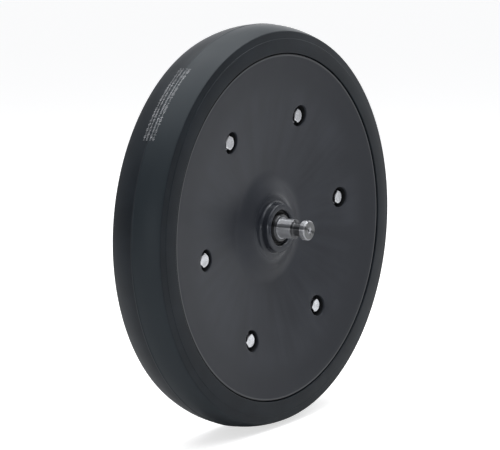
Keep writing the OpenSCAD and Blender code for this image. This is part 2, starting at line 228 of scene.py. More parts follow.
def mirrored(half):
    """A half outline closed by its mirror image across the middle of the wheel."""
    return half + [(r, -h, *soft) for r, h, *soft in reversed(half)]


def outline_object(name, points):
    ring = points + points[:1]
    mesh = bpy.data.meshes.new(name)
    places = [(r * MM, -h * MM, 0) for r, h in ring]
    mesh.from_pydata(places, [(i, i + 1) for i in range(len(ring) - 1)], [])
    return put(name, mesh)


# %% Trees
def new_tree(name, sockets):
    tree = bpy.data.node_groups.new(name, "GeometryNodeTree")
    tree.interface.new_socket("Geometry", in_out="INPUT", socket_type="NodeSocketGeometry")
    for label, kind in sockets.items():
        tree.interface.new_socket(label, in_out="INPUT", socket_type="NodeSocket" + kind)
    tree.interface.new_socket("Geometry", in_out="OUTPUT", socket_type="NodeSocketGeometry")
    return tree, tree.nodes.new("NodeGroupInput"), tree.nodes.new("NodeGroupOutput")


def end_tree(tree, geometry, given, given_out):
    """Every tree ends in Realize Instances and Set Material."""
    real = add(tree, "GeometryNodeRealizeInstances", {"Geometry": geometry})
    painted = add(tree, "GeometryNodeSetMaterial", {
        "Geometry": real.outputs[0],
        "Material": given.outputs["Finish"],
    })
    tree.links.new(painted.outputs[0], given_out.inputs[0])


# %% Growing a mesh
SHARP = math.radians(32)
WELD = 0.000002


def tidy(mesh):
    """Merges doubles, turns all faces outwards and keeps real edges crisp."""
    work = bmesh.new()
    work.from_mesh(mesh)
    bmesh.ops.remove_doubles(work, verts=work.verts, dist=WELD)
    bmesh.ops.dissolve_degenerate(work, edges=work.edges, dist=WELD)
    wires = [e for e in work.edges if not e.link_faces]
    bmesh.ops.delete(work, geom=wires, context="EDGES")
    bmesh.ops.recalc_face_normals(work, faces=work.faces)
    loose = sum(1 for e in work.edges if len(e.link_faces) != 2)
    work.to_mesh(mesh)
    work.free()
    mesh.shade_smooth()
    mesh.set_sharp_from_angle(angle=SHARP)
    return loose


def grow(obj, tree, **values):
    """Runs a tree on an object and keeps the result as its plain mesh."""
    modifier = obj.modifiers.new(tree.name, "NODES")
    modifier.node_group = tree
    for item in tree.interface.items_tree:
        if item.in_out == "INPUT" and item.name in values:
            modifier[item.identifier] = values[item.name]
    graph = bpy.context.evaluated_depsgraph_get()
    mesh = bpy.data.meshes.new_from_object(obj.evaluated_get(graph), depsgraph=graph)
    obj.modifiers.remove(modifier)
    drawn = obj.data
    obj.data = mesh
    bpy.data.meshes.remove(drawn)
    mesh.name = obj.name
    open_edges = tidy(mesh)
    print(obj.name, "faces:", len(mesh.polygons), "open edges:", open_edges)
    return obj


# %% [markdown]
# ## A tree that turns an outline
# A lathe makes a round piece from one profile. The tree does the same: a grid has one row
# for each point of the outline and one column for each step around the axle, and each
# grid point is moved to its row's radius and height at its column's angle.

# %% Spun outline
def spin_nodes(tree, outline, segments):
    """Nodes that turn an outline about Y, as a closed mesh."""
    size = add(tree, "GeometryNodeAttributeDomainSize", {"Geometry": outline})
    columns = Formula(tree, segments) + 1
    grid = add(tree, "GeometryNodeMeshGrid", {
        "Size X": 1.0,
        "Size Y": 1.0,
        "Vertices X": size.outputs["Point Count"],
        "Vertices Y": columns,
    })
    index = number(tree, add(tree, "GeometryNodeInputIndex"))
    row = (index / columns).math("FLOOR")
    column = index - row * columns
    position = add(tree, "GeometryNodeInputPosition")
    sample = add(tree, "GeometryNodeSampleIndex", data_type="FLOAT_VECTOR")
    tree.links.new(outline, pick(sample.inputs, "Geometry"))
    tree.links.new(position.outputs[0], pick(sample.inputs, "Value"))
    feed(tree, pick(sample.inputs, "Index"), row)
    turned = add(tree, "ShaderNodeVectorRotate", {
        "Vector": pick(sample.outputs, "Value"),
        "Axis": (0, 1, 0),
        "Angle": column / Formula(tree, segments) * TURN,
    }, rotation_type="AXIS_ANGLE")
    placed = add(tree, "GeometryNodeSetPosition", {
        "Geometry": grid.outputs["Mesh"],
        "Position": turned.outputs[0],
    })
    merged = add(tree, "GeometryNodeMergeByDistance", {
        "Geometry": placed.outputs[0],
        "Distance": WELD,
    })
    return merged.outputs[0]


spun, spun_in, spun_out = new_tree("Spun outline", {"Segments": "Int", "Finish": "Material"})
spun_mesh = spin_nodes(spun, spun_in.outputs["Geometry"], spun_in.outputs["Segments"])
end_tree(spun, spun_mesh, spun_in, spun_out)


def turned_piece(name, corners, finish, segments=144):
    return grow(outline_object(name, rounded(corners)), spun, Segments=segments, Finish=finish)


# %% [markdown]
# ## A tree that sets copies around the axle
# Bolts, washers and nuts stand on one circle. The tree puts a point for each and sets the
# drawn piece on it. Hand-tightened hexagons never stop at the same angle, so each copy
# may also get a turn about its own axis, drawn from a fixed seed.

# %% Copies around the axle
def circle_points(tree, count, radius, phase):
    points = add(tree, "GeometryNodePoints", {"Count": count})
    index = number(tree, add(tree, "GeometryNodeInputIndex"))
    angle = index / Formula(tree, count) * TURN + phase
    place = joined(tree, X=angle.math("COSINE") * radius, Z=angle.math("SINE") * radius)
    feed(tree, points.inputs["Position"], place)
    return points.outputs[0], angle


copies, copies_in, copies_out = new_tree("Copies around the axle", {
    "Count": "Int",
    "Radius": "Float",
    "Phase": "Float",
    "Loose turn": "Float",
    "Seed": "Int",
    "Finish": "Material",
})
copy_points, copy_angle = circle_points(
    copies, copies_in.outputs["Count"], copies_in.outputs["Radius"], copies_in.outputs["Phase"]
)
loose_turn = number(copies, add(copies, "FunctionNodeRandomValue", {
    "Min": 0.0,
    "Max": copies_in.outputs["Loose turn"],
    "Seed": copies_in.outputs["Seed"],
}, data_type="FLOAT"), "Value")
copy_set = add(copies, "GeometryNodeInstanceOnPoints", {
    "Points": copy_points,
    "Instance": copies_in.outputs["Geometry"],
    "Rotation": joined(copies, Y=loose_turn - copy_angle),
})
end_tree(copies, copy_set.outputs[0], copies_in, copies_out)

# %% [markdown]
# ## Finishes
# Each finish is a small node tree on Object coordinates, in metres, so a grain has its
# real size on every piece. Radius from the axle is worked out in the tree, because lathe
# lines, scuffs and edge wear all run around the wheel.

# %% Finish helpers
class Finish:
    """A material with its shader, and the coordinates that its patterns read."""

    def __init__(self, name, **constants):
        self.material = bpy.data.materials.new(name)
        self.material.use_nodes = True
        self.tree = self.material.node_tree
        self.shader = self.tree.nodes["Principled BSDF"]
        for socket, value in constants.items():
            self.shader.inputs[socket.replace("_", " ")].default_value = value
        self.place = add(self.tree, "ShaderNodeTexCoord").outputs["Object"]
        self.x, self.y, self.z, self.radius = split(self.tree, self.place)

    def noise(self, scale, detail=2.0, vector=None, roughness=0.5):
        return number(self.tree, add(self.tree, "ShaderNodeTexNoise", {
            "Vector": vector or self.place,
            "Scale": scale,
            "Detail": detail,
            "Roughness": roughness,
        }))

    def vector(self, x, y, z=0.0):
        return joined(self.tree, X=x, Y=y, Z=z)

    def mix(self, share, one, two):
        """A colour from one at share 0 to two at share 1."""
        node = add(self.tree, "ShaderNodeMix", data_type="RGBA")
        feed(self.tree, node.inputs["Factor"], share)
        for key, colour in (("A", one), ("B", two)):
            target = pick(node.inputs, key)
            feed(self.tree, target, (*colour, 1.0) if isinstance(colour, tuple) else colour)
        return pick(node.outputs, "Result")

    def colour(self, value):
        feed(self.tree, self.shader.inputs["Base Color"], value)

    def roughness(self, value):
        feed(self.tree, self.shader.inputs["Roughness"], value)

    def bump(self, *layers):
        """Layers are (height from 0 to 1, depth in millimetres)."""
        normal = None
        for height, depth in layers:
            node = add(self.tree, "ShaderNodeBump", {"Height": height, "Distance": depth * MM})
            if normal:
                feed(self.tree, node.inputs["Normal"], normal)
            normal = node.outputs[0]
        feed(self.tree, self.shader.inputs["Normal"], normal)


# %% [markdown]
# ## Tyre rubber
# The tyre is moulded black rubber with a satin skin. It needs a fine grain, the faint
# rings that a turned mould leaves, a slow change of gloss, and a little pale dust. The
# front half of the tread is painted paler as painted light, so the finish has to know the tyre's
# sizes.

# %% Tyre sizes
tyre_low, tyre_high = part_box("tyre")
rim_low, rim_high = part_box("front_rim_half")
TYRE_R = tyre_high.z / MM
SIDE_H = tyre_high.y / MM
RIM_R = rim_high.z / MM
RIM_H = -rim_low.y / MM
MOULD_LINE = 0.3
TREAD_DROP = 5.4
SHOULDER_IN = 1.2
SHOULDER_ROUND = 1.2
BAND_W = 5.8
BAND_LEAN = 0.4
BAND_STEP = 0.3
WALL = 9.5
LIP_GAP = 0.6
FLANGE_T = 3.2
FLANGE_LEAN = 2.6
SEAT_DEPTH = 14.2
FOOT_SLIT = 6
FOOT_T = 5
TYRE_PLAY = 0.1

crown_r = TYRE_R - MOULD_LINE
shoulder_h = SIDE_H - SHOULDER_IN
shoulder_r = crown_r - TREAD_DROP
tread_arc = (shoulder_h ** 2 + TREAD_DROP ** 2) / (2 * TREAD_DROP)
tread_c = crown_r - tread_arc
tread_stop = math.degrees(math.asin(shoulder_h / tread_arc))
band_r = shoulder_r - BAND_W
band_h = shoulder_h + BAND_LEAN
ledge_r = RIM_R + LIP_GAP
seat_r = RIM_R - SEAT_DEPTH
flange_h = RIM_H - FLANGE_T
seat_h = flange_h - FLANGE_LEAN
print("tyre radius:", round(TYRE_R, 2), "half width:", round(SIDE_H, 2))

# %% Tyre rubber
RUBBER = (0.0040, 0.0062, 0.0095)
RUBBER_PALE = (0.0073, 0.0105, 0.0150)
# The tread tone is painted light: a paler colour that stands for light on the front half of the
# tread.
RUBBER_TREAD_LIT = (0.0150, 0.0208, 0.0255)
DUST = (0.075, 0.075, 0.072)
DUST_SHARE = 0.35
TREAD_LIT_SHARE = 0.8
SEAM_SOFT = 0.6


def tyre_rubber():
    f = Finish("tyre_skin", Specular_IOR_Level=0.3, Specular_Tint=(0.89, 0.95, 1, 1))
    mottle = f.noise(38, 3).between(0.35, 0.7)
    rings = f.noise(1.0, 2, f.vector(f.radius * 900, f.y * 900))
    specks = f.noise(420, 4, roughness=0.65).between(0.66, 0.78)
    patches = f.noise(23, 4).between(0.52, 0.72)
    base = f.mix(mottle, RUBBER, RUBBER_PALE)
    # Painted light: the front half of the tread is painted paler, standing in for light falling on
    # it.
    on_tread = f.radius.between((shoulder_r - 0.5) * MM, (shoulder_r + 0.9) * MM)
    front_half = f.y.between(SEAM_SOFT * MM, -SEAM_SOFT * MM)
    tread_lit = f.mix(on_tread * front_half * TREAD_LIT_SHARE, base, RUBBER_TREAD_LIT)
    f.colour(f.mix(specks * patches * DUST_SHARE, tread_lit, DUST))
    f.roughness(f.noise(30, 4) * 0.16 + 0.36 + rings * 0.05)
    f.bump((f.noise(9, 2), 0.25), (rings, 0.006), (f.noise(1500, 3), 0.012))
    return f.material


rubber = tyre_rubber()
print("finish:", rubber.name)

# %% [markdown]
# ## Tyre
# The tread is a shallow arc with a fine parting line on its crown. A smooth band runs
# below each shoulder. Inside is an open hollow that lets the tread flex, and two feet
# that the rim halves clamp. The outline is a formula, so the lathe tree makes the tyre.

# %% Tyre
def tyre_half():
    line_w = 2 * MOULD_LINE
    tread_start = math.degrees(math.asin(1.6 * line_w / tread_arc))
    crown = [(TYRE_R, 0), (TYRE_R - 0.03, 0.4 * line_w), (crown_r + 0.05, 0.9 * line_w)]
    tread = arc(tread_c, 0, tread_arc, tread_start, tread_stop - 2, 22)
    wall = [
        (shoulder_r, shoulder_h, SHOULDER_ROUND),
        (band_r, band_h, 0.15),
        (band_r - BAND_STEP, band_h + BAND_STEP, 0.15),
        (ledge_r, SIDE_H, 0.8),
        (ledge_r, flange_h - TYRE_PLAY, 0.5),
        (RIM_R, flange_h - TYRE_PLAY, 0.3),
        (seat_r + TYRE_PLAY, seat_h - TYRE_PLAY, 0.6),
        (seat_r + TYRE_PLAY, FOOT_SLIT, 0.8),
        (seat_r + TYRE_PLAY + FOOT_T, FOOT_SLIT, 1.5),
    ]
    hollow_h = shoulder_h - WALL
    hollow_r = seat_r + TYRE_PLAY + FOOT_T + hollow_h - FOOT_SLIT
    hollow = [(hollow_r, hollow_h, 3), (crown_r - WALL, hollow_h, 6), (crown_r - WALL, 1)]
    return crown + tread + wall + hollow


tyre = turned_piece("rubber_tyre", mirrored(tyre_half())[1:], rubber, 300)

# %% [markdown]
# ## Printed ticks
# A press prints rows of marks on the rubber. They are thin white ink, so each is a very
# flat box that follows the curve of the tread. Ink on rubber is never even: some ticks are
# short, and the finish lets the rubber show through.

# %% Ink
INK = (0.40, 0.41, 0.43)


def white_ink():
    f = Finish("white_ink", Specular_IOR_Level=0.3)
    worn = f.noise(900, 3).between(0.42, 0.62)
    faded = f.noise(120, 2).between(0.45, 0.7)
    f.colour(f.mix(worn * 0.5 + faded * 0.35, INK, RUBBER_PALE))
    f.roughness(f.noise(400) * 0.2 + 0.5)
    f.bump((f.noise(1200, 2), 0.01))
    return f.material


# %% Ticks around the tread
ticks, ticks_in, ticks_out = new_tree("Tread ticks", {
    "Count": "Int",
    "Start": "Float",
    "Stop": "Float",
    "Row": "Float",
    "Long": "Float",
    "Seed": "Int",
    "Finish": "Material",
})
INK_W = 0.55
INK_T = 0.06
TICK_SHORTEST = 0.2
tick_box = add(ticks, "GeometryNodeMeshCube", {
    "Size": (INK_T * MM, 1.0, INK_W * MM),
    "Vertices Y": 5,
})
tick_index = number(ticks, add(ticks, "GeometryNodeInputIndex"))
tick_share = tick_index / ticks_in.outputs["Count"]
tick_angle = (
    tick_share * Formula(ticks, ticks_in.outputs["Stop"])
    + (Formula(ticks, ticks_in.outputs["Start"]) - tick_share * ticks_in.outputs["Start"])
)
tick_points = add(ticks, "GeometryNodePoints", {
    "Count": ticks_in.outputs["Count"],
    "Position": joined(
        ticks,
        X=tick_angle.math("COSINE") * (TYRE_R * MM),
        Y=ticks_in.outputs["Row"],
        Z=tick_angle.math("SINE") * (TYRE_R * MM),
    ),
})
tick_long = number(ticks, add(ticks, "FunctionNodeRandomValue", {
    "Min": TICK_SHORTEST,
    "Max": 1.0,
    "Seed": ticks_in.outputs["Seed"],
}, data_type="FLOAT"), "Value") * ticks_in.outputs["Long"]
tick_set = add(ticks, "GeometryNodeInstanceOnPoints", {
    "Points": tick_points.outputs[0],
    "Instance": tick_box.outputs["Mesh"],
    "Rotation": joined(ticks, Y=tick_angle * -1.0),
    "Scale": joined(ticks, X=1.0, Y=tick_long, Z=1.0),
})

# %% Ticks bent to the crown
tick_real = add(ticks, "GeometryNodeRealizeInstances", {"Geometry": tick_set.outputs[0]})
here = add(ticks, "GeometryNodeInputPosition").outputs[0]
here_x, here_y, here_z, here_r = split(ticks, here)
tread_r = (here_y * here_y * -1.0 + (tread_arc * MM) ** 2).root() + tread_c * MM
stretch = (here_r - TYRE_R * MM + tread_r) / here_r
tick_bent = add(ticks, "GeometryNodeSetPosition", {
    "Geometry": tick_real.outputs[0],
    "Position": joined(ticks, X=here_x * stretch, Y=here_y, Z=here_z * stretch),
})
end_tree(ticks, tick_bent.outputs[0], ticks_in, ticks_out)

# %% Rows of ticks
ink = white_ink()
TICK_COUNT = 60
TICK_START = math.radians(125.5)
TICK_STOP = math.radians(150)
TICK_ROWS = {
    "tread_ticks_front": (-4.2, 2.5, 3),
    "tread_ticks_front_inner": (-1.5, 2.4, 4),
    "tread_ticks_rear_inner": (1.9, 2.4, 8),
    "tread_ticks_rear": (4.6, 2.4, 9),
}
tick_pieces = [
    grow(
        outline_object(name, [(0, 0), (1, 0)]), ticks,
        Count=TICK_COUNT, Start=TICK_START, Stop=TICK_STOP,
        Row=row * MM, Long=long * MM, Seed=seed, Finish=ink,
    )
    for name, (row, long, seed) in TICK_ROWS.items()
]

# %% [markdown]
# ## Rim plastic
# The rim halves are moulded from a filled black plastic. Light shows a fine even grain,
# flow streaks that run outwards, a few scuffs, and a collar and an edge polished by handling.
# A painted highlight lines the edge, and painted shade darkens the bolt recesses and the gap
# beside the tyre.

# %% Rim sizes
WAIST_H = 8.4
BOSS_R = 48.1
FLANK_TOP_R = 22.6
COLLAR_FOOT_H = 14.5
COLLAR_BORE_R = 14.5
COLLAR_R = 20
COLLAR_FILLET = FLANK_TOP_R - COLLAR_R
HUB_H = 21.9
COLLAR_CHAMFER = 0.9
BARREL_R = 27
POCKET_R = 20.02
POCKET_H = 12
WEB = 4.2
RIB_T = 3
RIB_COUNT = 12
BOLT_COUNT = 6
BOLT_CIRCLE_R = 95
BOLT_PHASE = math.radians(68.5)
HOLE_R = 3.3
RECESS_R = 8.8
RECESS_BOSS_R = 12
BOLT_FLOOR = 9.1
MOUTH_ROUND = 0.6
LIP_ROUND = 1.2
BEAD_OUT = 6
BEAD_ROUND = 1.2
BEAD_LEAN = 10.4
ring_r = seat_r - WEB
dish_slope = (RIM_H - WAIST_H) / (RIM_R - BOSS_R)


def dish(r):
    return WAIST_H + dish_slope * (r - BOSS_R)


def face(r):
    """Height of the outer face: a straight dish, then the swept flank of the hub boss."""
    if r >= BOSS_R:
        return dish(r)
    share = (1 - math.cos(math.pi * (BOSS_R - r) / (BOSS_R - FLANK_TOP_R))) / 2
    return dish(r) + (COLLAR_FOOT_H - dish(r)) * share


def steps_between(start, stop, steps):
    return [start + (stop - start) * i / steps for i in range(steps + 1)]


print("rim radius:", round(RIM_R, 2), "edge height:", round(RIM_H, 2))

# %% Rim plastic
PLASTIC = (0.0150, 0.0170, 0.0222)
PLASTIC_PALE = (0.0300, 0.0330, 0.0412)
# Near black, painted as shade in the bolt recesses and in the gap beside the tyre.
PLASTIC_SHADE = (0.003, 0.0033, 0.004)
SCUFF = (0.075, 0.075, 0.074)
# A pale colour painted along the start of the lip's rounding as a painted highlight.
EDGE_HIGHLIGHT = (0.12, 0.125, 0.13)
STREAKS = 9
STREAKS_START, STREAKS_FULL = 34, 70
PALE_STOP, PALE_FULL = 128, 104
POLISH_STOP, POLISH_FULL = 31, 25


def rim_plastic():
    f = Finish("rim_plastic", Specular_IOR_Level=0.42, Specular_Tint=(0.90, 0.94, 1, 1))
    outward = f.vector(f.x / f.radius * STREAKS, f.radius * 12, f.z / f.radius * STREAKS)
    clear_of_hub = f.radius.between(STREAKS_START * MM, STREAKS_FULL * MM)
    flow = (f.noise(1.0, 2, outward, 0.5) - 0.5) * clear_of_hub + 0.5
    cloud = f.noise(26, 4)
    inner = f.radius.between(PALE_STOP * MM, PALE_FULL * MM)
    pale = (flow * 0.35 + cloud * 0.35).between(0.2, 0.5) * inner
    base = f.mix(pale, PLASTIC, PLASTIC_PALE)
    swirl = f.noise(1.0, 3, f.vector(f.radius * 700, f.x * 14, f.z * 14))
    rubbed = swirl.between(0.66, 0.74) * f.noise(18, 3).between(0.5, 0.68)
    # Painted highlight: a pale band at the lip's rounding, which is also made smoother. The mix
    # below also holds real scuffs.
    edge = f.radius.between((RIM_R - 2.4) * MM, (RIM_R - 1.4) * MM)
    worn = f.mix(edge * 0.5, f.mix(rubbed * 0.22, base, SCUFF), EDGE_HIGHLIGHT)
    # Painted shade: the bolt recesses and a thin band of the lip beside the tyre are painted near
    # black. The recesses are also rougher.
    sunk = f.radius * dish_slope + dish(0) * MM - f.y.math("ABSOLUTE")
    recess = sunk.between(0.8 * MM, 2.4 * MM)
    lip_gap_shade = f.radius.between((RIM_R - 1.05) * MM, (RIM_R - 0.65) * MM)
    f.colour(f.mix(recess.math("MAXIMUM", lip_gap_shade), worn, PLASTIC_SHADE))
    hub = f.radius.between(POLISH_STOP * MM, POLISH_FULL * MM)
    polish = edge * 0.12 + hub * 0.24
    f.roughness(flow * 0.08 + 0.4 + cloud * 0.08 - polish + recess * 0.3)
    f.bump((f.noise(14, 2), 0.12), (f.noise(1100, 4), 0.016))
    return f.material


plastic = rim_plastic()
print("finish:", plastic.name)

# %% [markdown]
# ## Rim halves
# A rim half is the piece that takes the most care: a dished shell with a hub boss and
# collar, twelve ribs behind it, and six bosses with a recess for each bolt. The shell and
# the space for the ribs are turned outlines, and a tree joins and cuts them, as a mould
# maker would. The mouth of each recess is rounded, and leans with the dish.

# %% Rim outlines
flank_rs = steps_between(FLANK_TOP_R + 0.6, BOSS_R, 20)
dish_rs = steps_between(BOSS_R + 6, RIM_R - 6, 12)
web_rs = [r for r in flank_rs if r > BARREL_R] + [ring_r]
bead_r = seat_r + BEAD_OUT
bead_h = seat_h + BEAD_OUT * FLANGE_LEAN / SEAT_DEPTH
rim_corners = [
    (COLLAR_BORE_R, HUB_H - COLLAR_CHAMFER, 0.3),
    (COLLAR_BORE_R + COLLAR_CHAMFER, HUB_H, 0.3),
    (COLLAR_R - COLLAR_CHAMFER, HUB_H, 0.3),
    (COLLAR_R, HUB_H - COLLAR_CHAMFER, 0.3),
    *arc(FLANK_TOP_R, COLLAR_FOOT_H + COLLAR_FILLET, COLLAR_FILLET, 180, 270, 8),
    *[(r, face(r)) for r in flank_rs + dish_rs],
    (RIM_R, RIM_H, LIP_ROUND),
    (RIM_R, flange_h, 0.4),
    *arc(bead_r, bead_h, BEAD_ROUND, BEAD_LEAN, BEAD_LEAN + 180, 8),
    (seat_r, seat_h, 0.5),
    (seat_r, 0, 0.3),
    (ring_r, 0, 0.3),
    *[(r, face(r) - WEB) for r in reversed(web_rs)],
    (BARREL_R, face(BARREL_R) - WEB, 1),
    (BARREL_R, 0, 0.3),
    (POCKET_R, 0, 0.4),
    (POCKET_R, POCKET_H),
    (COLLAR_BORE_R, POCKET_H, 0.3),
]
core_corners = [
    (BARREL_R - 1, 0.02),
    (BARREL_R - 1, face(BARREL_R) - WEB / 2),
    *[(r, face(r) - WEB / 2) for r in web_rs],
    (ring_r + 1, face(ring_r) - WEB / 2),
    (ring_r + 1, 0.02),
]
mouth_h = dish(BOLT_CIRCLE_R)
recess_corners = [
    (0, -1),
    (HOLE_R, -1),
    (HOLE_R, BOLT_FLOOR),
    (RECESS_R, BOLT_FLOOR, 0.5),
    *arc(RECESS_R + MOUTH_ROUND, mouth_h - MOUTH_ROUND, MOUTH_ROUND, 180, 100, 6),
    (RECESS_R + MOUTH_ROUND + 1, mouth_h + 0.2),
    (RECESS_R + MOUTH_ROUND + 1, RIM_H + 4),
    (0, RIM_H + 4),
]
print("slope of the dish:", round(dish_slope, 4), "height at the bolts:", round(mouth_h, 2))

# %% Rim tree
rim_tree, rim_in, rim_out = new_tree("Rim moulding", {
    "Core": "Object",
    "Recess": "Object",
    "Bolts": "Int",
    "Bolt circle": "Float",
    "Phase": "Float",
    "Ribs": "Int",
    "Rib width": "Float",
    "Boss radius": "Float",
    "Segments": "Int",
    "Finish": "Material",
})


def object_outline(tree, socket):
    return add(tree, "GeometryNodeObjectInfo", {"Object": socket}).outputs["Geometry"]


def laid_forward(tree, mesh, forward):
    """A mesh drawn along Z, turned to point forward and moved that far."""
    return add(tree, "GeometryNodeTransform", {
        "Geometry": mesh,
        "Translation": (0, -forward, 0),
        "Rotation": (math.pi / 2, 0, 0),
    }).outputs[0]


def set_round(tree, mesh, count, given):
    radius, phase = given.outputs["Bolt circle"], given.outputs["Phase"]
    points, angle = circle_points(tree, count, radius, phase)
    copies_made = add(tree, "GeometryNodeInstanceOnPoints", {
        "Points": points,
        "Instance": mesh,
        "Rotation": joined(tree, Y=angle * -1.0),
    })
    made = add(tree, "GeometryNodeRealizeInstances", {"Geometry": copies_made.outputs[0]})
    return made.outputs[0]


def combine(tree, operation, first, second):
    node = add(tree, "GeometryNodeMeshBoolean", operation=operation, solver="EXACT")
    first_input = "Mesh 1" if operation == "DIFFERENCE" else "Mesh 2"
    tree.links.new(first, node.inputs[first_input])
    tree.links.new(second, node.inputs["Mesh 2"])
    return node.outputs["Mesh"]


# %% Shell, ribs and bosses
rim_segments = rim_in.outputs["Segments"]
rim_shell = spin_nodes(rim_tree, rim_in.outputs["Geometry"], rim_segments)
rim_core = spin_nodes(rim_tree, object_outline(rim_tree, rim_in.outputs["Core"]), rim_segments)

rib_start = BARREL_R - 1
rib_stop = ring_r + 1
rib_bar = add(rim_tree, "GeometryNodeMeshCube", {
    "Size": joined(
        rim_tree, X=(rib_stop - rib_start) * MM, Y=rim_in.outputs["Rib width"], Z=RIM_H * MM
    ),
})
rib_out = add(rim_tree, "GeometryNodeTransform", {
    "Geometry": rib_bar.outputs["Mesh"],
    "Translation": (((rib_start + rib_stop) / 2 - BOLT_CIRCLE_R) * MM, 0, 0),
})
rib_set = set_round(
    rim_tree,
    laid_forward(rim_tree, rib_out.outputs[0], RIM_H * MM / 2),
    rim_in.outputs["Ribs"], rim_in,
)
BOSS_STEPS = 48
boss_bar = add(rim_tree, "GeometryNodeMeshCylinder", {
    "Vertices": BOSS_STEPS,
    "Radius": rim_in.outputs["Boss radius"],
    "Depth": RIM_H * MM,
})
boss_set = set_round(
    rim_tree,
    laid_forward(rim_tree, boss_bar.outputs["Mesh"], RIM_H * MM / 2),
    rim_in.outputs["Bolts"], rim_in,
)
rib_and_boss = combine(rim_tree, "UNION", rib_set, boss_set)
rib_work = combine(rim_tree, "INTERSECT", rim_core, rib_and_boss)

# %% Recesses that lean with the dish
RECESS_STEPS = 64
recess_one = spin_nodes(
    rim_tree,
    object_outline(rim_tree, rim_in.outputs["Recess"]),
    add(rim_tree, "FunctionNodeInputInt", integer=RECESS_STEPS).outputs[0],
)
recess_set = set_round(rim_tree, recess_one, rim_in.outputs["Bolts"], rim_in)
spot = add(rim_tree, "GeometryNodeInputPosition").outputs[0]
_, spot_y, _, spot_r = split(rim_tree, spot)
lean_share = (spot_y * -1.0).between((BOLT_FLOOR + 1) * MM, (mouth_h - MOUTH_ROUND - 0.1) * MM)
lean = (spot_r - rim_in.outputs["Bolt circle"]) * lean_share * -dish_slope
recess_leaning = add(rim_tree, "GeometryNodeSetPosition", {
    "Geometry": recess_set,
    "Offset": joined(rim_tree, Y=lean),
})
rim_joined = combine(rim_tree, "UNION", rim_shell, rib_work)
rim_cut = combine(rim_tree, "DIFFERENCE", rim_joined, recess_leaning.outputs[0])
end_tree(rim_tree, rim_cut, rim_in, rim_out)

# %% Rim halves
RIM_STEPS = 240
core_outline = outline_object("core_outline", rounded(core_corners))
recess_outline = outline_object("recess_outline", rounded(recess_corners))
front_rim = grow(
    outline_object("front_dished_rim", rounded(rim_corners)), rim_tree,
    Core=core_outline, Recess=recess_outline, Segments=RIM_STEPS,
    Ribs=RIB_COUNT, Bolts=BOLT_COUNT, Phase=BOLT_PHASE, Finish=plastic,
    **{
        "Bolt circle": BOLT_CIRCLE_R * MM,
        "Rib width": RIB_T * MM,
        "Boss radius": RECESS_BOSS_R * MM,
    },
)
for helper in (core_outline, recess_outline):
    bpy.data.objects.remove(helper)


def to_rear(piece):
    """Mirrors a piece to the rear of the wheel."""
    piece.data.transform(Matrix.Diagonal((1, -1, 1, 1)))
    tidy(piece.data)
    return piece


rear_rim = to_rear(put("rear_dished_rim", front_rim.data.copy()))

# %% [markdown]
# ## Zinc plate
# The bolts are plated with bright zinc. It is a soft mirror with a cool tint, a slow
# cloudiness and small dull spots, and the heads carry fine scratches from the wrench.

# %% Zinc plate
ZINC = (0.76, 0.775, 0.81)
ZINC_DULL = (0.55, 0.56, 0.57)


def zinc_plate():
    f = Finish("bright_zinc", Metallic=1.0)
    cloud = f.noise(260, 4).between(0.35, 0.7)
    spots = f.noise(700, 3).between(0.66, 0.78)
    f.colour(f.mix((cloud * 0.5 + spots * 0.5).math("MINIMUM", 1.0), ZINC, ZINC_DULL))
    f.roughness(cloud * 0.12 + 0.24 + spots * 0.15)
    scratches = f.noise(1.0, 2, f.vector(f.x * 2400, f.z * 300, f.y * 300))
    f.bump((f.noise(900, 3), 0.012), (scratches, 0.004))
    return f.material


zinc = zinc_plate()
print("finish:", zinc.name)

# %% [markdown]
# ## Fasteners
# Six bolts hold the halves together, each with a washer at both ends and a locking nut at
# the rear. A hexagon is a round piece whose radius changes with the angle, so one helper
# draws heads, nuts and the thread as rows of points around the bolt's own axis.

# %% Rows around a bolt
def rows_mesh(name, rows, looped=False):
    """A mesh through rows of (radius, height) points. An open stack is closed by two caps."""
    count = len(rows[0])
    work = bmesh.new()
    rings = []
    for row in rows:
        ring = []
        for i, (r, h) in enumerate(row):
            a = TURN * i / count
            ring.append(work.verts.new((r * math.cos(a) * MM, -h * MM, r * math.sin(a) * MM)))
        rings.append(ring)
    pairs = list(zip(rings, rings[1:]))
    if looped:
        pairs.append((rings[-1], rings[0]))
    for one, two in pairs:
        for i in range(count):
            j = (i + 1) % count
            work.faces.new((one[i], one[j], two[j], two[i]))
    if not looped:
        work.faces.new(rings[0])
        work.faces.new(rings[-1])
    mesh = bpy.data.meshes.new(name)
    work.to_mesh(mesh)
    work.free()
    return put(name, mesh)


# %% Hexagon rows
HEX_AF = 10
HEX_CLIP = 0.16
HEX_FACE_R = HEX_AF / 2 * 0.96
HEX_FOOT_R = HEX_AF / 2 * 0.93
AROUND = 96


def hex_radius(i):
    """Radius of the hexagon at step i, with its corners slightly clipped."""
    a = (TURN * i / AROUND + math.pi / 6) % (math.pi / 3) - math.pi / 6
    return min(HEX_AF / 2 / math.cos(a), HEX_AF / 2 / math.cos(math.pi / 6) - HEX_CLIP)


def round_row(radius, height):
    return [(radius, height)] * AROUND


def chamfer_row(top_h, fall):
    """Where the cone that turns the corners off meets the flats. Fall is -1 or 1."""
    slope = math.tan(math.radians(30))
    return [
        (hex_radius(i), top_h + fall * max(0.12, (hex_radius(i) - HEX_FACE_R) * slope))
        for i in range(AROUND)
    ]


# %% Fastener sizes
WASHER_R = 6
WASHER_T = 1.6
HEAD_FOOT = BOLT_FLOOR + WASHER_T
HEAD_H = 4
NUT_H = 4.4
NUT_COLLAR_R = 4.4
NUT_COLLAR_H = 1.6
SHANK_R = 3
THREAD_PITCH = 1
THREAD_DEPTH = 0.5
THREAD_ROWS = 10
THREAD_LEAD = 0.6
THREAD_END = 9
BOLT_TAIL = HEAD_FOOT + NUT_H + NUT_COLLAR_H + 0.8


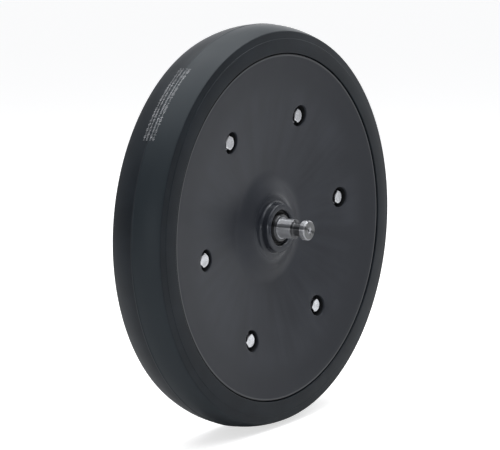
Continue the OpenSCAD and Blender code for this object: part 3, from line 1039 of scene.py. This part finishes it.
def thread_row(height):
    """A row across the thread: the groove climbs once around for each pitch."""
    row = []
    for i in range(AROUND):
        share = (height / THREAD_PITCH + i / AROUND) % 1
        row.append((SHANK_R - THREAD_DEPTH * (1 - abs(2 * share - 1)), height))
    return row


print("bolt length:", round(HEAD_FOOT + HEAD_H + BOLT_TAIL, 2))

# %% Fastener outlines
head_top = HEAD_FOOT + HEAD_H
thread_start = -BOLT_TAIL + THREAD_LEAD
thread_stop = -BOLT_TAIL + THREAD_END
thread_steps = int((thread_stop - thread_start) / THREAD_PITCH * THREAD_ROWS)
bolt_rows = [
    round_row(SHANK_R - 0.95, -BOLT_TAIL),
    round_row(SHANK_R - 0.6, -BOLT_TAIL + 0.15),
    *[thread_row(h) for h in steps_between(thread_start, thread_stop, thread_steps)],
    round_row(SHANK_R - 0.02, thread_stop + 0.4),
    round_row(SHANK_R - 0.02, HEAD_FOOT - 0.1),
    round_row(HEX_FOOT_R, HEAD_FOOT),
    chamfer_row(HEAD_FOOT, 1),
    chamfer_row(head_top, -1),
    round_row(HEX_FACE_R, head_top - 0.03),
    round_row(HEX_AF / 2 * 0.9, head_top),
    round_row(HEX_AF / 2 * 0.7, head_top - 0.05),
]
nut_top = HEAD_FOOT + NUT_H
nut_rows = [
    round_row(SHANK_R + 0.05, HEAD_FOOT + 0.3),
    round_row(SHANK_R + 0.4, HEAD_FOOT),
    round_row(HEX_FOOT_R, HEAD_FOOT),
    chamfer_row(HEAD_FOOT, 1),
    chamfer_row(nut_top, -1),
    round_row(HEX_FACE_R, nut_top - 0.02),
    round_row(NUT_COLLAR_R + 0.15, nut_top),
    round_row(NUT_COLLAR_R, nut_top + 0.2),
    round_row(NUT_COLLAR_R, nut_top + NUT_COLLAR_H * 0.5),
    round_row(NUT_COLLAR_R - 0.12, nut_top + NUT_COLLAR_H * 0.8),
    round_row(NUT_COLLAR_R - 0.45, nut_top + NUT_COLLAR_H),
    round_row(NUT_COLLAR_R - 0.62, nut_top + NUT_COLLAR_H - 0.06),
    round_row(NUT_COLLAR_R - 0.62, nut_top + 0.3),
    round_row(SHANK_R + 0.05, nut_top + 0.3),
]
washer_corners = [
    (SHANK_R + 0.15, BOLT_FLOOR, 0.15),
    (SHANK_R + 0.15, BOLT_FLOOR + WASHER_T, 0.15),
    (WASHER_R, BOLT_FLOOR + WASHER_T, 0.35),
    (WASHER_R, BOLT_FLOOR, 0.2),
]
insert_corners = [
    (SHANK_R + 0.02, nut_top + 0.3, 0.1),
    (SHANK_R + 0.02, nut_top + NUT_COLLAR_H - 0.1, 0.25),
    (NUT_COLLAR_R - 0.64, nut_top + NUT_COLLAR_H - 0.1, 0.15),
    (NUT_COLLAR_R - 0.64, nut_top + 0.3, 0.1),
]
print("rows of a bolt:", len(bolt_rows), "of a nut:", len(nut_rows))

# %% Bolts, washers and nuts
NYLON = (0.62, 0.61, 0.57)
NYLON_PALE = (0.72, 0.71, 0.68)


def nut_nylon():
    f = Finish("nut_nylon", Specular_IOR_Level=0.45)
    f.colour(f.mix(f.noise(500, 2), NYLON, NYLON_PALE))
    f.roughness(f.noise(300) * 0.15 + 0.35)
    f.bump((f.noise(1400, 2), 0.01))
    return f.material


def around_axle(piece, finish, loose=0.0, seed=0):
    return grow(
        piece, copies, Count=BOLT_COUNT, Radius=BOLT_CIRCLE_R * MM, Phase=BOLT_PHASE,
        Seed=seed, Finish=finish, **{"Loose turn": loose},
    )


bolts = around_axle(rows_mesh("hex_bolts", bolt_rows), zinc, TURN, 5)
head_washers = around_axle(turned_piece("head_washers", washer_corners, zinc, 64), zinc)
tail_washers = to_rear(around_axle(turned_piece("tail_washers", washer_corners, zinc, 64), zinc))
nuts = to_rear(around_axle(rows_mesh("lock_nuts", nut_rows, True), zinc, TURN, 9))
nylon = nut_nylon()
inserts = to_rear(around_axle(turned_piece("nut_inserts", insert_corners, nylon, 48), nylon))

# %% [markdown]
# ## Steels of the hub
# The axle is bright turned steel: a lathe leaves fine lines around it, which spread the
# light along the axle. Painted shade darkens its groove and the sleeve's wall, and the end
# face is painted darker and left rougher. The bearing parts are ground smooth, the cages
# are pressed sheet, and the retaining ring is dark spring steel.

# %% Hub sizes
axle_low, axle_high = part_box("axle")
sleeve_low, sleeve_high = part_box("spacer_sleeve")
AXLE_END = -axle_low.y / MM
AXLE_FOOT = -axle_high.y / MM
AXLE_HEAD_R = axle_high.z / MM
SLEEVE_R = sleeve_high.z / MM
SLEEVE_END = -sleeve_low.y / MM
SLEEVE_FOOT = -sleeve_high.y / MM
AXLE_R = 8.5
SPIGOT_R = 8
NECK_R = 5.5
CIRCLIP_H = 12.02
CIRCLIP_DEPTH = 0.4
BUTTON_LEN = 5.6
GROOVE_W = 8.4
GROOVE_ROUND = 1.6
BUTTON_CHAMFER = 1.3
CENTRE_R = 3.5
PILOT_R = 1.25
PILOT_DEPTH = 3
groove_stop = AXLE_END - BUTTON_LEN
groove_start = groove_stop - GROOVE_W
pilot_top = AXLE_END - (CENTRE_R - PILOT_R) * math.tan(math.radians(30))
print("groove from", round(groove_start, 2), "to", round(groove_stop, 2))

# %% Steels
STEEL = (0.50, 0.51, 0.535)
STEEL_DULL = (0.36, 0.365, 0.38)
STEEL_END_SHADE = (0.24, 0.245, 0.25)
STEEL_SHADE = (0.075, 0.077, 0.081)


def turned_steel():
    f = Finish("turned_steel", Metallic=1.0, Anisotropic=1.0, Anisotropic_Rotation=0.25)
    around = add(f.tree, "ShaderNodeTangent", direction_type="RADIAL", axis="Y")
    feed(f.tree, f.shader.inputs["Tangent"], around.outputs[0])
    lines = f.noise(1.0, 3, f.vector(f.radius * 5200, f.y * 5200), 0.7)
    coarse = f.noise(1.0, 2, f.vector(f.radius * 900, f.y * 900))
    stain = f.noise(160, 4).between(0.5, 0.75)
    bright = f.mix((stain * 0.6 + coarse * 0.3).math("MINIMUM", 1.0), STEEL, STEEL_DULL)
    forward = f.y * (-1 / MM)
    # Painted shade: the groove and the sleeve's wall inside the bore are painted near black.
    past_start = forward.between(groove_start - 0.8, groove_start)
    before_stop = forward.between(groove_stop + 0.2, groove_stop - 0.6)
    groove = past_start * before_stop
    # Painted shade: the end face is painted darker, and it is also rougher.
    end_face = forward.between(AXLE_END - 0.8, AXLE_END - 0.2)
    sleeve_wall = f.radius.between((AXLE_R + 0.1) * MM, (AXLE_R + 0.6) * MM)
    end_shaded = f.mix(end_face, bright, STEEL_END_SHADE)
    f.colour(f.mix(groove.math("MAXIMUM", sleeve_wall) * 0.9, end_shaded, STEEL_SHADE))
    f.roughness(lines * 0.06 + 0.33 + stain * 0.05 + end_face * 0.1)
    f.bump((coarse, 0.01), (lines, 0.012))
    return f.material


# %% Other hub finishes
SEAL = (0.010, 0.010, 0.011)
SEAL_PALE = (0.020, 0.020, 0.021)
CAP = (0.018, 0.018, 0.019)
CAP_PALE = (0.030, 0.030, 0.031)


def plain_steel(name, colour, roughness, grain):
    f = Finish(name, Metallic=1.0)
    cloud = f.noise(300, 3)
    f.colour(f.mix(cloud, colour, tuple(c * 0.75 for c in colour)))
    f.roughness(cloud * 0.14 + roughness)
    f.bump((f.noise(grain, 3), 0.008))
    return f.material


def seal_rubber():
    f = Finish("nitrile_rubber", Specular_IOR_Level=0.3)
    f.colour(f.mix(f.noise(200, 3), SEAL, SEAL_PALE))
    f.roughness(f.noise(300, 2) * 0.2 + 0.45)
    f.bump((f.noise(1600, 3), 0.012))
    return f.material


def cap_plastic():
    f = Finish("cap_plastic", Specular_IOR_Level=0.5)
    cloud = f.noise(60, 4)
    f.colour(f.mix(cloud, CAP, CAP_PALE))
    f.roughness(cloud * 0.12 + 0.36)
    f.bump((f.noise(1300, 3), 0.014))
    return f.material


axle_steel = turned_steel()
bearing_steel = plain_steel("ground_steel", (0.68, 0.69, 0.71), 0.14, 900)
cage_steel = plain_steel("pressed_steel", (0.45, 0.46, 0.47), 0.3, 700)
spring_steel = plain_steel("dark_spring_steel", (0.09, 0.095, 0.10), 0.35, 900)
seal = seal_rubber()
cap = cap_plastic()
hub_finishes = (axle_steel, bearing_steel, cage_steel, spring_steel, seal, cap)
print("finishes:", [finish.name for finish in hub_finishes])

# %% [markdown]
# ## Hub pieces
# The stub axle has a groove that a keeper plate locks into, and a button end with the
# centre hole that held it in the lathe. A bright sleeve spaces the arm from the bearing,
# and a lip seal keeps soil out. At the rear a plug covers the head of the axle.

# %% Axle and sleeve outlines
axle_corners = [
    (0, AXLE_FOOT),
    (AXLE_HEAD_R - 1, AXLE_FOOT, 0.3),
    (AXLE_HEAD_R, AXLE_FOOT + 1, 0.3),
    (AXLE_HEAD_R, -POCKET_H, 0.2),
    (AXLE_R, -POCKET_H),
    (AXLE_R, CIRCLIP_H),
    (AXLE_R - CIRCLIP_DEPTH, CIRCLIP_H),
    (AXLE_R - CIRCLIP_DEPTH, SLEEVE_FOOT),
    (AXLE_R, SLEEVE_FOOT),
    (AXLE_R, SLEEVE_END, 0.1),
    (SPIGOT_R, SLEEVE_END, 0.1),
    (SPIGOT_R, groove_start - 0.4, 0.15),
    (SPIGOT_R - 0.4, groove_start, 0.15),
    *arc(NECK_R + GROOVE_ROUND, groove_start + GROOVE_ROUND, GROOVE_ROUND, 270, 180, 8),
    *arc(NECK_R + GROOVE_ROUND, groove_stop - GROOVE_ROUND, GROOVE_ROUND, 180, 90, 8),
    (SPIGOT_R - 0.4, groove_stop, 0.15),
    (SPIGOT_R, groove_stop + 0.4, 0.15),
    (SPIGOT_R, AXLE_END - BUTTON_CHAMFER, 0.25),
    (SPIGOT_R - BUTTON_CHAMFER, AXLE_END, 0.25),
    (CENTRE_R, AXLE_END, 0.12),
    (PILOT_R, pilot_top, 0.1),
    (PILOT_R, pilot_top - PILOT_DEPTH),
    (0, pilot_top - PILOT_DEPTH),
]
sleeve_corners = [
    (AXLE_R + 0.02, SLEEVE_FOOT),
    (SLEEVE_R, SLEEVE_FOOT, 0.2),
    (SLEEVE_R, SLEEVE_END - 0.6, 0.15),
    (SLEEVE_R - 0.6, SLEEVE_END, 0.15),
    (AXLE_R + 0.02, SLEEVE_END, 0.1),
]

# %% Seal and plug outlines
SEAL_R = COLLAR_BORE_R - 0.02
SEAL_FRONT = HUB_H - 3
SEAL_BACK = SEAL_FRONT - 4.6
SEAL_BODY_R = COLLAR_BORE_R - 1.75
SEAL_LIP_R = SLEEVE_R + 0.15
seal_mid = (SEAL_FRONT + SEAL_BACK) / 2
seal_corners = [
    (SEAL_R, SEAL_BACK, 0.3),
    (SEAL_R, SEAL_FRONT, 0.3),
    (SEAL_BODY_R, SEAL_FRONT, 0.35),
    (SEAL_BODY_R, seal_mid + 0.7, 0.5),
    (SEAL_LIP_R, seal_mid + 1.5, 0.2),
    (SEAL_LIP_R, seal_mid + 0.1, 0.2),
    (SEAL_BODY_R, seal_mid - 0.7, 0.5),
    (SEAL_BODY_R, SEAL_BACK, 0.3),
]
PLUG_R = COLLAR_BORE_R - 0.02
PLUG_BRIM_R = COLLAR_BORE_R + 3.6
PLUG_TOP = HUB_H + 1.6
PLUG_CROWN = 0.9
plug_corners = [
    (0, -HUB_H),
    (PLUG_R - 1.8, -HUB_H, 0.4),
    (PLUG_R - 1.8, -HUB_H + 5, 0.3),
    (PLUG_R, -HUB_H + 5, 0.5),
    (PLUG_R, -HUB_H, 0.1),
    (PLUG_BRIM_R, -HUB_H, 0.25),
    (PLUG_BRIM_R, -PLUG_TOP, 0.6),
    *[
        ((PLUG_BRIM_R - 1) * math.cos(a), -PLUG_TOP - PLUG_CROWN * math.sin(a))
        for a in steps_between(0, math.pi / 2, 12)
    ],
]

# %% Hub pieces
axle = turned_piece("stub_axle", axle_corners, axle_steel)
sleeve = turned_piece("bright_sleeve", sleeve_corners, axle_steel)
lip_seal = turned_piece("lip_seal", seal_corners, seal)
plug = turned_piece("hub_plug", plug_corners, cap)

# %% [markdown]
# ## Every piece on its body
# A piece rides on the body that carries it, and stands for the plain solid it covers. The
# bearing parts are already right, so their solids stay and only take a better finish.

# %% Ride and replace
PIECES = [
    (tyre, "wheel", "tyre", "tyre_rubber"),
    (front_rim, "wheel", "front_rim_half", "rim_polymer"),
    (rear_rim, "wheel", "rear_rim_half", "rim_polymer"),
    (bolts, "wheel", "rim_bolts", "zinc_plate"),
    (head_washers, "wheel", "bolt_washers", "zinc_plate"),
    (tail_washers, "wheel", "nut_washers", "zinc_plate"),
    (nuts, "wheel", "rim_nuts", "zinc_plate"),
    (lip_seal, "wheel", "front_dust_seal", "seal_rubber"),
    (plug, "wheel", "rear_hub_cap", "cap_polymer"),
    (axle, "axle", "axle", "axle_steel"),
    (sleeve, "axle", "spacer_sleeve", "axle_steel"),
]
for piece, body, node_name, slot_name in PIECES:
    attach(piece, body)
    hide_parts(node_name)
for piece in (*tick_pieces, inserts):
    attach(piece, "wheel")

NODE_FINISHES = {
    "outer_ring": bearing_steel,
    "inner_ring": bearing_steel,
    "balls": bearing_steel,
    "cage": cage_steel,
    "outboard_seal": seal,
    "inboard_seal": seal,
    "circlip": spring_steel,
}
for node_name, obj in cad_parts.items():
    for ending, finish in NODE_FINISHES.items():
        if node_name.endswith(ending):
            obj.data.materials.clear()
            obj.data.materials.append(finish)
print("pieces made:", len(PIECES) + len(tick_pieces) + 1)

# %% [markdown]
# ## Studio
# A black wheel is lit by what it reflects. A large soft lamp overhead draws the bright band
# along the top of the tread, and smaller ones pick out its sides, the shaft and the face
# of the dish. The room is pale but for one side and one corner, because steel looks like
# steel only beside something dark. The floor is white to the camera and keeps the shadow.

# %% Floor
FLOOR_SIZE = 16
FLOOR_Z = tyre_low.z
FLOOR_LIFT = 0.66
FLOOR_TONE = (0.74, 0.74, 0.74, 1)
FLOOR_CORNERS = ((-1, -1), (1, -1), (1, 1), (-1, 1))
floor_mesh = bpy.data.meshes.new("floor")
floor_mesh.from_pydata(
    [(x * FLOOR_SIZE, y * FLOOR_SIZE, FLOOR_Z) for x, y in FLOOR_CORNERS],
    [], [(0, 1, 2, 3)],
)
floor = put("floor", floor_mesh)
print("floor height:", round(FLOOR_Z, 4))

# %% White backdrop
BACKDROP_SIDE = (0.81, 0.58, 0)


def seen_white(tree, behind):
    """1 for rays that see the white backdrop: the camera's, and mirrored ones behind the wheel."""
    ray = add(tree, "ShaderNodeLightPath")
    mirrored_ray = number(tree, ray, "Is Glossy Ray") * behind
    through = number(tree, ray, "Is Transmission Ray")
    clear = number(tree, ray, "Is Camera Ray").math("MAXIMUM", through)
    return clear.math("MAXIMUM", mirrored_ray)


def along(tree, vector, side):
    return number(tree, add(
        tree, "ShaderNodeVectorMath", {0: vector, 1: side}, operation="DOT_PRODUCT"
    ), "Value")


def floor_finish():
    f = Finish("pale_floor", Roughness=0.9, Specular_IOR_Level=0.0, Base_Color=FLOOR_TONE)
    behind = along(f.tree, f.place, BACKDROP_SIDE).between(2, 6)
    lift = seen_white(f.tree, behind) * FLOOR_LIFT
    glow = add(f.tree, "ShaderNodeEmission", {"Strength": lift})
    both = add(f.tree, "ShaderNodeAddShader", {0: f.shader.outputs[0], 1: glow.outputs[0]})
    f.tree.links.new(both.outputs[0], f.tree.nodes["Material Output"].inputs["Surface"])
    return f.material


floor.data.materials.append(floor_finish())

# %% Room
ROOM_LIGHT = 0.45
ROOM_DARK = 0.06
ROOM_TINT = (0.985, 0.995, 1.02, 1)
CORNER_SHADE = 0.85
DARK_SIDE = (0.17, -0.98, 0.05)
DARK_CORNER = (-0.92, -0.38, 0)
MIRROR_SIDE = (0.91, 0.38, 0.15)
world = bpy.data.worlds.new("studio")
bpy.context.scene.world = world
world.use_nodes = True
sky = world.node_tree
look = add(sky, "ShaderNodeTexCoord").outputs["Generated"]
height = number(sky, add(sky, "ShaderNodeSeparateXYZ", {"Vector": look}), "Z")
corner = height.between(0.5, 0.25) * along(sky, look, DARK_CORNER).between(0.1, 0.45)
lit_side = along(sky, look, DARK_SIDE).between(0.97, 0.6)
room = lit_side * (corner * -CORNER_SHADE + 1.0) * (ROOM_LIGHT - ROOM_DARK) + ROOM_DARK
white = seen_white(sky, along(sky, look, MIRROR_SIDE).between(0.74, 0.98))
strength = white * (room * -1.0 + 1.0) + room
feed(sky, sky.nodes["Background"].inputs["Color"], ROOM_TINT)
feed(sky, sky.nodes["Background"].inputs["Strength"], strength)
print("room light from", ROOM_DARK, "to", ROOM_LIGHT)

# %% Lamps
LAMPS = {
    "overhead_lamp": ((-0.05, -0.1, 1.3), (-0.05, -0.1, 0), (1.8, 2.4), 26),
    "side_lamp": ((1.7, -0.3, 0.5), (0.2, 0, 0), (1.4, 1.2), 4),
    "back_lamp": ((1.7, 0.72, 0.62), (0, 0, 0.1), (1.3, 0.8), 3.2),
    "left_lamp": ((-1.7, 0, 0.12), (0, 0, 0), (0.25, 0.4), 2),
    "strip_lamp": ((0.42, -0.28, 1.15), (0, -0.04, 0), (0.12, 0.7), 2.6),
    "camera_lamp": ((-1.35, -1.65, 0.15), (0, 0, 0), (0.3, 0.3), 3.6),
}


def softbox(name, place, towards, size, watts):
    lamp = bpy.data.lights.new(name, "AREA")
    lamp.shape = "RECTANGLE"
    lamp.size, lamp.size_y = size
    lamp.energy = watts
    obj = put(name, lamp)
    obj.location = place
    aimed = (Vector(towards) - Vector(place)).to_track_quat("-Z", "Y")
    obj.rotation_euler = aimed.to_euler()
    obj.visible_camera = False


for lamp_name, settings in LAMPS.items():
    softbox(lamp_name, *settings)
bpy.context.scene.view_settings.view_transform = "Standard"
print("lamps:", len(LAMPS))
